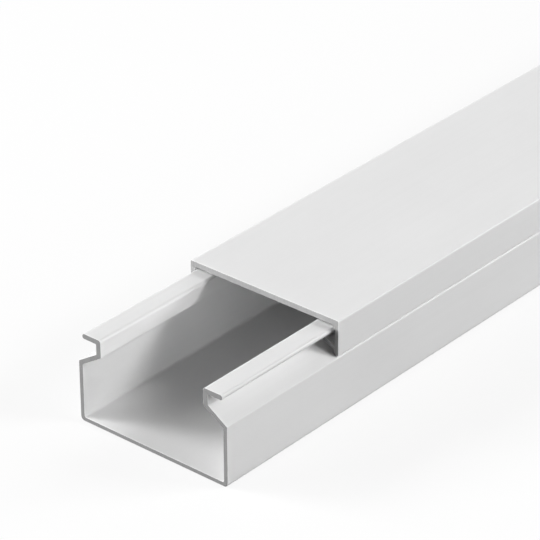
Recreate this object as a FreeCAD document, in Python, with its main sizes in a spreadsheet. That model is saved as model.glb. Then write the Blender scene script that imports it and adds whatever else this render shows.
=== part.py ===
import FreeCAD, Part
import Sketcher
import os

# Cord cover raceway: a base channel and a clip-over cover, both extruded rigid PVC
# Frame: X across the width, Y along the length, Z up, millimetres
# Origin in the middle of the underside of the base channel

DIMENSIONS = [
    ("width", 50.0, "overall width, the same for base and cover"),
    ("piece_length", 400.0, "length of each of the two pieces"),
    ("cover_shift", 43.0, "how far the cover is slid back from the end of the base"),
    ("wall_thickness", 1.3, "thickness of the side walls and shoulders"),
    ("floor_thickness", 1.15, "thickness of the floor"),
    ("wall_height", 17.7, "height of the side walls, up to the shoulder corner"),
    ("shoulder_run", 6.2, "shoulder, measured across from the side to the rib"),
    ("shoulder_rise", 4.0, "shoulder, measured up from the side to the rib"),
    ("rib_thickness", 1.6, "thickness of the upright ribs"),
    ("lip_top", 26.25, "height of the top of the lips"),
    ("lip_thickness", 1.5, "thickness of the lips"),
    ("cover_thickness", 1.6, "thickness of the top of the cover"),
    ("skirt_thickness", 1.2, "thickness of the skirts"),
    ("side_play", 0.3, "gap between a lip tip and a skirt"),
    ("foot_play", 0.3, "gap between the feet of the skirts and the shoulder corners"),
    ("height_play", 0.4, "gap between the hooks and the lips"),
    ("lip_play", 0.75, "gap between the lips and the underside of the cover"),
    ("hook_thickness", 1.0, "thickness of the hooks"),
    ("hook_root", 2.2, "underside of a hook at its skirt, above the shoulder corner"),
    ("hook_run", 4.0, "reach of a hook inwards from its skirt"),
    ("hook_rise", 1.7, "rise of a hook over its reach"),
    ("foot_radius", 1.2, "outer corners of the underside"),
    ("cover_radius", 0.4, "outer corners of the cover"),
    ("crest_radius", 0.8, "inner top corners of the ribs"),
    ("lip_radius", 0.7, "rounded tips of the lips"),
    ("inner_radius", 0.6, "inner corners of the duct"),
    ("edge_radius", 0.25, "edges and roots of shoulders, ribs, lips, skirts and hooks"),
]

# Heights and offsets that one piece takes from the other
LIP_TIP_INSET = "dims.skirt_thickness + dims.side_play"
COVER_HEIGHT = "dims.lip_top + dims.lip_play + dims.cover_thickness"
SKIRT_FOOT = "dims.wall_height + dims.foot_play"
SKIRT_BEVEL = "dims.skirt_thickness * dims.shoulder_rise / dims.shoulder_run"
HOOK_ROOT = "dims.wall_height + dims.hook_root"
HOOK_TOP = "dims.lip_top - dims.lip_thickness - dims.height_play"

# Rough corners of the right half of the base, from the middle of the underside round to the floor
BASE_ROUGH = [
    (0, 0), (25, 0), (25, 17), (19, 21), (19, 25), (24, 25),
    (24, 26), (18, 26), (18, 20), (23, 16), (23, 1), (0, 1),
]
(UNDERSIDE, SIDE, SHOULDER, RIB_OUTSIDE, LIP_UNDERSIDE, LIP_TIP,
 LIP_TOP, RIB_INSIDE, SHOULDER_INSIDE, SIDE_INSIDE, FLOOR, BASE_MIDDLE) = range(12)

# Rough corners of the right half of the cover, from the middle of the top round to the underside
COVER_ROUGH = [
    (0, 28), (25, 28), (25, 18), (24, 19), (24, 20), (20, 22),
    (20, 24), (21, 24), (21, 23), (24, 21), (24, 26), (0, 26),
]
(TOP, SKIRT, SKIRT_END, SKIRT_LOW, HOOK_UNDERSIDE, HOOK_INSIDE,
 HOOK_TIP, HOOK_OUTSIDE, HOOK_UPPERSIDE, SKIRT_INSIDE, TOP_UNDERSIDE, COVER_MIDDLE) = range(12)

START_ID, END_ID = 1, 2
ORIGIN = (-1, 1)
UPRIGHT_AXIS_ID = -2
ROUGH_THICKNESS = 1.0


def make_sheet(doc):
    """Driving dimensions, a row each: name, value, what it is."""
    sheet = doc.addObject("Spreadsheet::Sheet", "dims")
    for row, (name, value, note) in enumerate(DIMENSIONS, start=1):
        sheet.set(f"A{row}", name)
        sheet.set(f"B{row}", str(value))
        sheet.set(f"C{row}", note)
        sheet.setAlias(f"B{row}", name)
    doc.recompute()


def new_body(doc, name):
    """Body with a sketch on the upright plane across its length."""
    body = doc.addObject("PartDesign::Body", name)
    body.Label = name
    sketch = body.newObject("Sketcher::SketchObject", f"{name}_section")
    plane = next(item for item in body.Origin.OriginFeatures if item.Role == "XZ_Plane")
    sketch.AttachmentSupport = [(plane, "")]
    sketch.MapMode = "FlatFace"
    return body, sketch


def draw_outline(sketch, rough):
    """Closed chain of lines, level and upright where the rough corners are."""
    count = len(rough)
    for index, (x, z) in enumerate(rough):
        end_x, end_z = rough[(index + 1) % count]
        sketch.addGeometry(Part.LineSegment(FreeCAD.Vector(x, z, 0), FreeCAD.Vector(end_x, end_z, 0)))
        if x == end_x:
            sketch.addConstraint(Sketcher.Constraint("Vertical", index))
        elif z == end_z:
            sketch.addConstraint(Sketcher.Constraint("Horizontal", index))
    for index in range(count):
        sketch.addConstraint(Sketcher.Constraint("Coincident", index, END_ID, (index + 1) % count, START_ID))


def set_size(sketch, kind, first, second, expression):
    """Distance between two places of the sketch: first as roughly drawn, then from the sheet."""
    drawn = ROUGH_THICKNESS
    if kind != "Distance":
        gap = sketch.getPoint(*second) - sketch.getPoint(*first)
        drawn = gap.x if kind == "DistanceX" else gap.y
    index = sketch.addConstraint(Sketcher.Constraint(kind, *first, *second, drawn))
    sketch.setExpression(f"Constraints[{index}]", expression)


def constrain_base(sketch):
    """Floor, side wall, sloping shoulder, rib and lip."""
    sketch.addConstraint(Sketcher.Constraint("Coincident", UNDERSIDE, START_ID, *ORIGIN))
    sketch.addConstraint(Sketcher.Constraint("Parallel", SHOULDER, SHOULDER_INSIDE))
    set_size(sketch, "DistanceX", ORIGIN, (SIDE, START_ID), "dims.width / 2")
    set_size(sketch, "DistanceY", (SIDE, START_ID), (SIDE, END_ID), "dims.wall_height")
    set_size(sketch, "DistanceX", (SHOULDER, END_ID), (SHOULDER, START_ID), "dims.shoulder_run")
    set_size(sketch, "DistanceY", (SHOULDER, START_ID), (SHOULDER, END_ID), "dims.shoulder_rise")
    set_size(sketch, "DistanceX", (RIB_INSIDE, END_ID), (RIB_OUTSIDE, START_ID), "dims.rib_thickness")
    set_size(sketch, "DistanceX", (LIP_TIP, START_ID), (SIDE, START_ID), LIP_TIP_INSET)
    set_size(sketch, "DistanceY", (LIP_TIP, START_ID), (LIP_TIP, END_ID), "dims.lip_thickness")
    set_size(sketch, "DistanceY", ORIGIN, (LIP_TOP, START_ID), "dims.lip_top")
    set_size(sketch, "DistanceX", (SIDE_INSIDE, END_ID), (SIDE, START_ID), "dims.wall_thickness")
    set_size(sketch, "Distance", (SHOULDER, END_ID), (SHOULDER_INSIDE,), "dims.wall_thickness")
    set_size(sketch, "DistanceY", (BASE_MIDDLE, END_ID), (BASE_MIDDLE, START_ID), "dims.floor_thickness")


def constrain_cover(sketch):
    """Flat top, skirt with its foot along the shoulder, and hook under the lip."""
    sketch.addConstraint(Sketcher.Constraint("PointOnObject", TOP, START_ID, UPRIGHT_AXIS_ID))
    sketch.addConstraint(Sketcher.Constraint("Vertical", HOOK_UNDERSIDE, START_ID, SKIRT_INSIDE, START_ID))
    sketch.addConstraint(Sketcher.Constraint("Parallel", HOOK_UNDERSIDE, HOOK_UPPERSIDE))
    set_size(sketch, "DistanceX", ORIGIN, (SKIRT, START_ID), "dims.width / 2")
    set_size(sketch, "DistanceY", ORIGIN, (TOP, START_ID), COVER_HEIGHT)
    set_size(sketch, "DistanceY", (COVER_MIDDLE, START_ID), (COVER_MIDDLE, END_ID), "dims.cover_thickness")
    set_size(sketch, "DistanceX", (SKIRT_END, END_ID), (SKIRT_END, START_ID), "dims.skirt_thickness")
    set_size(sketch, "DistanceY", ORIGIN, (SKIRT_END, START_ID), SKIRT_FOOT)
    set_size(sketch, "DistanceY", (SKIRT_END, START_ID), (SKIRT_END, END_ID), SKIRT_BEVEL)
    set_size(sketch, "DistanceY", ORIGIN, (HOOK_UNDERSIDE, START_ID), HOOK_ROOT)
    set_size(sketch, "DistanceX", (HOOK_UNDERSIDE, END_ID), (HOOK_UNDERSIDE, START_ID), "dims.hook_run")
    set_size(sketch, "DistanceY", (HOOK_UNDERSIDE, START_ID), (HOOK_UNDERSIDE, END_ID), "dims.hook_rise")
    set_size(sketch, "Distance", (HOOK_UPPERSIDE, END_ID), (HOOK_UNDERSIDE,), "dims.hook_thickness")
    set_size(sketch, "DistanceX", (HOOK_TIP, START_ID), (HOOK_TIP, END_ID), "dims.hook_thickness")
    set_size(sketch, "DistanceY", ORIGIN, (HOOK_TIP, START_ID), HOOK_TOP)


def extrude_both_sides(doc, body, sketch):
    """Half section drawn out along Y, half the length each way, then mirrored."""
    pad = body.newObject("PartDesign::Pad", f"{body.Name}_half")
    pad.Profile = sketch
    pad.Midplane = True
    pad.setExpression("Length", "dims.piece_length")
    doc.recompute()
    mirrored = body.newObject("PartDesign::Mirrored", f"{body.Name}_whole")
    mirrored.Originals = [pad]
    mirrored.MirrorPlane = (sketch, ["V_Axis"])
    body.Tip = mirrored
    doc.recompute()
    return mirrored


def long_edges(shape, sketch, corners):
    """Names of the edges along Y that run through these corners of the section and their mirror images."""
    names = []
    for number, edge in enumerate(shape.Edges, start=1):
        first, last = edge.Vertexes[0].Point, edge.Vertexes[-1].Point
        if abs(first.y - last.y) < 1:
            continue
        for corner in corners:
            place = sketch.getPoint(corner, START_ID)
            if abs(abs(first.x) - place.x) < 1e-3 and abs(first.z - place.y) < 1e-3:
                names.append(f"Edge{number}")
    return names


def round_edges(doc, body, sketch, base, corners, radius):
    """Round edges along the whole length with a radius of the sheet."""
    fillet = body.newObject("PartDesign::Fillet", f"{body.Name}_{radius}")
    fillet.Base = (base, long_edges(base.Shape, sketch, corners))
    fillet.setExpression("Radius", f"dims.{radius}")
    doc.recompute()
    return fillet


def make_base_channel(doc):
    """Open channel with a shoulder, a rib and an outward lip on each side."""
    body, sketch = new_body(doc, "base_channel")
    draw_outline(sketch, BASE_ROUGH)
    constrain_base(sketch)
    doc.recompute()
    solid = extrude_both_sides(doc, body, sketch)
    small = [SHOULDER, RIB_OUTSIDE, LIP_UNDERSIDE, SHOULDER_INSIDE, SIDE_INSIDE]
    solid = round_edges(doc, body, sketch, solid, small, "edge_radius")
    solid = round_edges(doc, body, sketch, solid, [LIP_TIP, LIP_TOP], "lip_radius")
    solid = round_edges(doc, body, sketch, solid, [RIB_INSIDE], "crest_radius")
    solid = round_edges(doc, body, sketch, solid, [FLOOR], "inner_radius")
    round_edges(doc, body, sketch, solid, [SIDE], "foot_radius")
    return body


def make_cover(doc):
    """Flat cover with two skirts and a hook inside each, slid back along the base."""
    body, sketch = new_body(doc, "cover")
    draw_outline(sketch, COVER_ROUGH)
    constrain_cover(sketch)
    doc.recompute()
    solid = extrude_both_sides(doc, body, sketch)
    small = [SKIRT_END, SKIRT_LOW, HOOK_UNDERSIDE, HOOK_INSIDE,
             HOOK_TIP, HOOK_OUTSIDE, HOOK_UPPERSIDE, SKIRT_INSIDE]
    solid = round_edges(doc, body, sketch, solid, small, "edge_radius")
    solid = round_edges(doc, body, sketch, solid, [TOP_UNDERSIDE], "inner_radius")
    round_edges(doc, body, sketch, solid, [SKIRT], "cover_radius")
    body.setExpression(".Placement.Base.y", "dims.cover_shift")
    return body


def check_document(doc):
    """Every object computed, every shape whole."""
    for item in doc.Objects:
        if "Invalid" in item.State or "Error" in item.State:
            raise RuntimeError(f"{item.Name} did not compute: {item.State}")
        if item.isDerivedFrom("PartDesign::Feature") or item.isDerivedFrom("PartDesign::Body"):
            if item.Shape.isNull() or not item.Shape.isValid():
                raise RuntimeError(f"{item.Name} has no valid shape")


def main():
    doc = FreeCAD.newDocument("cord_cover_raceway")
    make_sheet(doc)
    bodies = [make_base_channel(doc), make_cover(doc)]
    doc.recompute()
    check_document(doc)
    os.makedirs("parts", exist_ok=True)
    for body in bodies:
        body.Shape.exportStep(f"parts/{body.Label}.step")
        box = body.Shape.BoundBox
        print(f"{body.Label}: {box.XLength:.2f} x {box.YLength:.2f} x {box.ZLength:.2f} mm, "
              f"y {box.YMin:.2f} to {box.YMax:.2f}, z {box.ZMin:.2f} to {box.ZMax:.2f}, "
              f"{body.Shape.Volume / 1000:.2f} cm3, {len(body.Shape.Solids)} solid")


main()
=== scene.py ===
import math

import bmesh
import bpy
from mathutils import Matrix, Vector


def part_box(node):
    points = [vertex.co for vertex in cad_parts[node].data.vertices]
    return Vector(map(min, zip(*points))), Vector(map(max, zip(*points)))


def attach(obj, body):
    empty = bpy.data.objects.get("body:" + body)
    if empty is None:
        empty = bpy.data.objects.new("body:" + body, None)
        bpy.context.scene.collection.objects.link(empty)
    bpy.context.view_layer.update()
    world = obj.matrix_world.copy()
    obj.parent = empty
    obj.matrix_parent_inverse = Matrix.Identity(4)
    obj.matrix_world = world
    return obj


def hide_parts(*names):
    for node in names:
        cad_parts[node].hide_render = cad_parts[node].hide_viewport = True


# Cord cover raceway, in metres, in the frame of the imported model:
# X across the width, Y along the length, Z up, the open end towards -Y

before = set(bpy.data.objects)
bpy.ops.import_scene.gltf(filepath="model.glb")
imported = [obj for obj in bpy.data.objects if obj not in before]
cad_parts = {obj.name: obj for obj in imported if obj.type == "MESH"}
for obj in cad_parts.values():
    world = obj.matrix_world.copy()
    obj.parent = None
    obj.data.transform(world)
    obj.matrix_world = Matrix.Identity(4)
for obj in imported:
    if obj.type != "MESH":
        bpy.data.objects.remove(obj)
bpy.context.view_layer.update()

MM = 0.001

# Camera of the photograph, found from the straight edges of the section and the length
CAMERA_AZIMUTH = math.radians(40.43)
CAMERA_ELEVATION = math.radians(29.25)
CAMERA_ROLL = math.radians(0.221)
CAMERA_PLACE = Vector((0.4378, -0.6681, 0.4114))
FOCAL_LENGTH = 200.47
SENSOR_WIDTH = 36.0
CLIP_NEAR = 0.01
CLIP_FAR = 50.0

# Extrusions
PLANE_GAP = 0.01 * MM       # points this near to the front end count as on it
DECIMALS = 3                # decimals of a millimetre at which two points of the outline are one
LEAST_COSINE = 0.5          # keeps the inset of a sharp corner short
CUT_EDGE = 0.05 * MM        # the knocked-off edge all round a sawn end
CUT_EDGE_STEPS = 3
RING_PITCH = 10.0 * MM      # spacing of the rings of faces along an extrusion

# Plastic
PVC_WHITE = (0.82, 0.82, 0.82)
# Sawn-end greys, far darker than the skin: partly the rough sawn face, mostly painted shade on the end
# faces, painted lighter on the cover's end than on the channel's
CHANNEL_CUT_GREY_AND_SHADE = (0.27, 0.27, 0.27)
COVER_CUT_GREY_AND_SHADE = (0.39, 0.39, 0.39)
PVC_IOR = 1.53
LIGHT_SPREAD = 0.95 * MM    # how far light creeps inside the plastic: thin lit walls glow a little

# Noise textures
NOISE_LOW = 0.3             # most of the noise lies between these two values
NOISE_HIGH = 0.7
NOISE_ROUGHNESS = 0.6
OFFSET_Y, OFFSET_Z = 0.37, 0.71

# Stage
FLOOR_REACH = 6.0
FLOOR_DROP = 0.2 * MM       # gap between the floor and the underside, so that they don't coincide
FLOOR_LEVEL = 0.2           # lightness of the floor in the light that it throws back on the object
FLOOR_GLOW = 0.85           # how far the shadow on the floor is lightened where it is seen
WORLD_LEVEL = 0.01
WHITE = (1.0, 1.0, 1.0, 1.0)
LIT_POINT = Vector((0.0, -0.14, 0.012))
LAMP_DISTANCE = 1.8

# Lamps: name, azimuth from +X towards +Y and elevation in degrees, width, height, power in watts
LAMPS = (
    ("left_low_softbox", 228.0, 9.0, 0.65, 0.35, 24.0),
    ("left_high_softbox", 207.0, 32.0, 0.55, 0.5, 24.2),
    ("right_low_softbox", 51.0, 13.0, 0.5, 0.3, 13.2),
    ("right_high_softbox", 37.0, 32.0, 0.75, 0.35, 20.0),
)


def end_outline(node):
    """The section of an extruded CAD node: the ordered outline of its front end face, (x, z) points."""
    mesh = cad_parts[node].data
    front = min(v.co.y for v in mesh.vertices)
    on_front = {v.index for v in mesh.vertices if abs(v.co.y - front) < PLANE_GAP}
    place = {}
    sides = set()
    for polygon in mesh.polygons:
        if not all(i in on_front for i in polygon.vertices):
            continue
        corners = []
        for i in polygon.vertices:
            point = mesh.vertices[i].co
            key = (round(point.x / MM, DECIMALS), round(point.z / MM, DECIMALS))
            place[key] = (point.x, point.z)
            corners.append(key)
        sides.update(zip(corners, corners[1:] + corners[:1]))
    following = {a: b for a, b in sides if (b, a) not in sides}
    start = min(following)
    outline = [start]
    while following[outline[-1]] != start:
        outline.append(following[outline[-1]])
    return [place[key] for key in outline]


def inset(outline, amount):
    """The outline moved into the material by amount."""
    following = outline[1:] + outline[:1]
    area = sum(x * next_z - next_x * z for (x, z), (next_x, next_z) in zip(outline, following))
    side = 1.0 if area > 0 else -1.0
    moved = []
    for i, point in enumerate(outline):
        before = Vector(outline[i - 1])
        here = Vector(point)
        after = Vector(following[i])
        first = (here - before).normalized()
        second = (after - here).normalized()
        normal = Vector((-first.y - second.y, first.x + second.x)).normalized() * side
        cosine = max(LEAST_COSINE, normal.dot(Vector((-first.y, first.x)) * side))
        moved.append(tuple(here + normal * (amount / cosine)))
    return moved


def section_rings(node):
    """The rings of an extrusion from end to end, each its y and its (x, z) points."""
    outline = end_outline(node)
    low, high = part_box(node)
    quarter = [math.pi / 2 * step / CUT_EDGE_STEPS for step in range(CUT_EDGE_STEPS + 1)]
    front = []
    for angle in quarter:
        points = inset(outline, CUT_EDGE * (1 - math.sin(angle)))
        front.append((low.y + CUT_EDGE * (1 - math.cos(angle)), points))
    full_run = high.y - low.y - 2 * CUT_EDGE
    spans = round(full_run / RING_PITCH)
    run = full_run / spans
    middle = [(low.y + CUT_EDGE + run * i, outline) for i in range(1, spans)]
    back = [(low.y + high.y - y, points) for y, points in reversed(front)]
    return front + middle + back


def add_skin(bm, loops):
    """Smooth faces between the rings."""
    for ring, following in zip(loops, loops[1:]):
        for i in range(len(ring)):
            j = (i + 1) % len(ring)
            face = bm.faces.new((ring[i], ring[j], following[j], following[i]))
            face.smooth = True


def add_cut_face(bm, ring):
    """Flat sawn end inside a ring."""
    rim = [bm.edges.get((a, b)) for a, b in zip(ring, ring[1:] + ring[:1])]
    filled = bmesh.ops.triangle_fill(bm, use_beauty=True, edges=rim)
    for face in filled["geom"]:
        if isinstance(face, bmesh.types.BMFace):
            face.material_index = 1
            face.smooth = False


def extrusion(name, node, body, skin, cut):
    """A length of extruded section with sawn ends whose edges are knocked off."""
    mesh = bpy.data.meshes.new(name)
    bm = bmesh.new()
    loops = [[bm.verts.new((x, y, z)) for x, z in points] for y, points in section_rings(node)]
    add_skin(bm, loops)
    add_cut_face(bm, loops[0])
    add_cut_face(bm, loops[-1])
    bmesh.ops.recalc_face_normals(bm, faces=bm.faces)
    bm.to_mesh(mesh)
    bm.free()
    mesh.materials.append(skin)
    mesh.materials.append(cut)
    piece = bpy.data.objects.new(name, mesh)
    bpy.context.scene.collection.objects.link(piece)
    shading = piece.modifiers.new("flat_faces_stay_flat", "WEIGHTED_NORMAL")
    shading.mode = "FACE_AREA"
    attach(piece, body)
    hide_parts(node)


def new_material(name):
    """A node material: the material, its nodes, its links and its surface shader."""
    material = bpy.data.materials.new(name)
    material.use_nodes = True
    nodes = material.node_tree.nodes
    return material, nodes, material.node_tree.links, nodes["Principled BSDF"]


def noise(nodes, links, scale, detail, offset, stretch=(1.0, 1.0, 1.0), turn=0.0):
    """Noise in object space, scale in features per metre, stretched by axis and turned about Y."""
    place = nodes.new("ShaderNodeTexCoord")
    mapping = nodes.new("ShaderNodeMapping")
    mapping.inputs["Location"].default_value = (offset, OFFSET_Y * offset, OFFSET_Z * offset)
    mapping.inputs["Rotation"].default_value = (0.0, turn, 0.0)
    mapping.inputs["Scale"].default_value = stretch
    texture = nodes.new("ShaderNodeTexNoise")
    texture.inputs["Scale"].default_value = scale
    texture.inputs["Detail"].default_value = detail
    texture.inputs["Roughness"].default_value = NOISE_ROUGHNESS
    links.new(place.outputs["Object"], mapping.inputs["Vector"])
    links.new(mapping.outputs["Vector"], texture.inputs["Vector"])
    return texture.outputs["Fac"]


def spread(nodes, links, value, low, high):
    """Noise mapped so that most of it lies between low and high."""
    ramp = nodes.new("ShaderNodeMapRange")
    ramp.inputs["From Min"].default_value = NOISE_LOW
    ramp.inputs["From Max"].default_value = NOISE_HIGH
    ramp.inputs["To Min"].default_value = low
    ramp.inputs["To Max"].default_value = high
    links.new(value, ramp.inputs["Value"])
    return ramp.outputs["Result"]


def product(nodes, links, first, second):
    """The first value times the second."""
    times = nodes.new("ShaderNodeMath")
    times.operation = "MULTIPLY"
    links.new(first, times.inputs[0])
    links.new(second, times.inputs[1])
    return times.outputs["Value"]


def tinted(nodes, links, colour, factor, shader):
    """The colour times a factor, into the shader's base colour."""
    scaled = nodes.new("ShaderNodeVectorMath")
    scaled.operation = "SCALE"
    scaled.inputs[0].default_value = colour
    links.new(factor, scaled.inputs["Scale"])
    links.new(scaled.outputs["Vector"], shader.inputs["Base Color"])


def relief(nodes, links, layers, shader):
    """Bumps in a chain, each of a height in metres."""
    previous = None
    for value, height in layers:
        bump = nodes.new("ShaderNodeBump")
        bump.inputs["Strength"].default_value = 1.0
        bump.inputs["Distance"].default_value = height
        links.new(value, bump.inputs["Height"])
        if previous:
            links.new(previous.outputs["Normal"], bump.inputs["Normal"])
        previous = bump
    links.new(previous.outputs["Normal"], shader.inputs["Normal"])


def pvc_skin(name, colour, offset):
    """Satin rigid PVC as it leaves the die: faint lines along the length, soft mottling, light rub marks."""
    material, nodes, links, shader = new_material(name)
    die_lines = noise(nodes, links, 1400.0, 2.0, offset, stretch=(1.0, 0.004, 1.0))
    wide_lines = noise(nodes, links, 220.0, 1.0, offset + 3.0, stretch=(1.0, 0.01, 1.0))
    mottling = noise(nodes, links, 45.0, 4.0, offset + 7.0, stretch=(1.0, 0.5, 1.0))
    grain = noise(nodes, links, 5200.0, 2.0, offset + 11.0)
    rubbing = noise(nodes, links, 160.0, 5.0, offset + 17.0, stretch=(1.0, 0.15, 1.0), turn=0.35)
    tone = product(nodes, links, spread(nodes, links, die_lines, 0.994, 1.006),
                   spread(nodes, links, mottling, 0.985, 1.015))
    tinted(nodes, links, colour, tone, shader)
    gloss = product(nodes, links, spread(nodes, links, rubbing, 0.5, 0.62),
                    spread(nodes, links, wide_lines, 0.92, 1.08))
    links.new(gloss, shader.inputs["Roughness"])
    layers = ((die_lines, 0.004 * MM), (wide_lines, 0.02 * MM), (grain, 0.0015 * MM))
    relief(nodes, links, layers, shader)
    shader.inputs["IOR"].default_value = PVC_IOR
    shader.inputs["Subsurface Weight"].default_value = 1.0
    shader.inputs["Subsurface Radius"].default_value = (1.0, 1.0, 1.0)
    shader.inputs["Subsurface Scale"].default_value = LIGHT_SPREAD
    return material


def pvc_cut_and_painted_shade(name, colour, offset):
    """Sawn end: duller, with blade marks that run slantwise over the face, in a grey base colour that is
    partly painted shade.
    """
    material, nodes, links, shader = new_material(name)
    blade_marks = noise(nodes, links, 3800.0, 3.0, offset, stretch=(1.0, 1.0, 0.05), turn=0.6)
    crumbs = noise(nodes, links, 6500.0, 3.0, offset + 5.0)
    patches = noise(nodes, links, 260.0, 3.0, offset + 9.0)
    tone = product(nodes, links, spread(nodes, links, blade_marks, 0.93, 1.07),
                   spread(nodes, links, patches, 0.93, 1.07))
    # the grey base colour holds painted shade on the sawn ends as well as blade-mark tone
    tinted(nodes, links, colour, tone, shader)
    links.new(spread(nodes, links, crumbs, 0.62, 0.85), shader.inputs["Roughness"])
    relief(nodes, links, ((blade_marks, 0.03 * MM), (crumbs, 0.02 * MM)), shader)
    shader.inputs["IOR"].default_value = PVC_IOR
    return material


def add_camera():
    """Camera at the photograph's place, looking along its measured angles."""
    level = math.cos(CAMERA_ELEVATION)
    back = Vector((math.sin(CAMERA_AZIMUTH) * level, -math.cos(CAMERA_AZIMUTH) * level,
                   math.sin(CAMERA_ELEVATION)))
    right = Vector((math.cos(CAMERA_AZIMUTH), math.sin(CAMERA_AZIMUTH), 0.0))
    up = back.cross(right)
    rolled_right = right * math.cos(CAMERA_ROLL) - up * math.sin(CAMERA_ROLL)
    rolled_up = right * math.sin(CAMERA_ROLL) + up * math.cos(CAMERA_ROLL)
    turn = Matrix((rolled_right, rolled_up, back)).transposed().to_4x4()
    data = bpy.data.cameras.new("camera")
    data.lens = FOCAL_LENGTH
    data.sensor_width = SENSOR_WIDTH
    data.clip_start = CLIP_NEAR
    data.clip_end = CLIP_FAR
    camera = bpy.data.objects.new("camera", data)
    camera.matrix_world = Matrix.Translation(CAMERA_PLACE) @ turn
    bpy.context.scene.collection.objects.link(camera)
    bpy.context.scene.camera = camera


def seen_directly(nodes, links):
    """1 for camera, glossy and transmission rays, 0 for the diffuse light that reaches the object."""
    path = nodes.new("ShaderNodeLightPath")
    either = path.outputs["Is Camera Ray"]
    for kind in ("Is Glossy Ray", "Is Transmission Ray"):
        larger = nodes.new("ShaderNodeMath")
        larger.operation = "MAXIMUM"
        links.new(either, larger.inputs[0])
        links.new(path.outputs[kind], larger.inputs[1])
        either = larger.outputs["Value"]
    return either


def mixed(nodes, links, share, first, second):
    """Mix of two shaders, share of the second; share is a number or a socket."""
    mix = nodes.new("ShaderNodeMixShader")
    if isinstance(share, float):
        mix.inputs["Fac"].default_value = share
    else:
        links.new(share, mix.inputs["Fac"])
    links.new(first, mix.inputs[1])
    links.new(second, mix.inputs[2])
    return mix.outputs["Shader"]


def matte(nodes, level):
    """Plain matte grey of the given lightness."""
    shader = nodes.new("ShaderNodeBsdfDiffuse")
    shader.inputs["Color"].default_value = (level, level, level, 1.0)
    return shader.outputs["BSDF"]


def add_floor():
    """Plain pale floor, white where it is seen, that keeps a soft shadow of the object."""
    mesh = bpy.data.meshes.new("floor")
    bm = bmesh.new()
    bmesh.ops.create_grid(bm, x_segments=1, y_segments=1, size=FLOOR_REACH)
    bm.to_mesh(mesh)
    bm.free()
    material, nodes, links, shader = new_material("floor_white")
    nodes.remove(shader)
    glow = nodes.new("ShaderNodeEmission")
    glow.inputs["Strength"].default_value = 1.0
    seen = mixed(nodes, links, FLOOR_GLOW, matte(nodes, 1.0), glow.outputs["Emission"])
    surface = mixed(nodes, links, seen_directly(nodes, links), matte(nodes, FLOOR_LEVEL), seen)
    links.new(surface, nodes["Material Output"].inputs["Surface"])
    mesh.materials.append(material)
    floor = bpy.data.objects.new("floor", mesh)
    floor.location.z = -FLOOR_DROP
    bpy.context.scene.collection.objects.link(floor)


def add_softbox(name, azimuth, elevation, wide, high, power):
    """Soft rectangular lamp that looks at the open end, with its angles in degrees."""
    around = math.radians(azimuth)
    above = math.radians(elevation)
    level = math.cos(above)
    towards = Vector((math.cos(around) * level, math.sin(around) * level, math.sin(above)))
    data = bpy.data.lights.new(name, "AREA")
    data.shape = "RECTANGLE"
    data.size = wide
    data.size_y = high
    data.energy = power
    light = bpy.data.objects.new(name, data)
    light.location = LIT_POINT + towards * LAMP_DISTANCE
    light.rotation_mode = "QUATERNION"
    light.rotation_quaternion = (-towards).to_track_quat("-Z", "Y")
    bpy.context.scene.collection.objects.link(light)


def add_world():
    """White where it is seen, a weak even light elsewhere."""
    world = bpy.data.worlds.new("studio")
    world.use_nodes = True
    nodes = world.node_tree.nodes
    links = world.node_tree.links
    weak = nodes["Background"]
    weak.inputs["Color"].default_value = WHITE
    weak.inputs["Strength"].default_value = WORLD_LEVEL
    white = nodes.new("ShaderNodeBackground")
    white.inputs["Color"].default_value = WHITE
    white.inputs["Strength"].default_value = 1.0
    surface = mixed(nodes, links, seen_directly(nodes, links), weak.outputs["Background"],
                    white.outputs["Background"])
    links.new(surface, nodes["World Output"].inputs["Surface"])
    bpy.context.scene.world = world


skin_base = pvc_skin("channel_pvc", PVC_WHITE, 0.0)
skin_cover = pvc_skin("cover_pvc", PVC_WHITE, 41.0)
# The sawn ends' greys are partly painted shade
cut_base_shaded = pvc_cut_and_painted_shade("channel_cut_painted_shade", CHANNEL_CUT_GREY_AND_SHADE, 5.0)
cut_cover_shaded = pvc_cut_and_painted_shade("cover_cut_painted_shade", COVER_CUT_GREY_AND_SHADE, 23.0)

extrusion("base_extrusion", "base_channel", "base", skin_base, cut_base_shaded)
extrusion("cover_extrusion", "cover", "lid", skin_cover, cut_cover_shaded)

add_camera()
add_floor()
add_world()
for lamp in LAMPS:
    add_softbox(*lamp)
bpy.context.scene.view_settings.view_transform = "Standard"
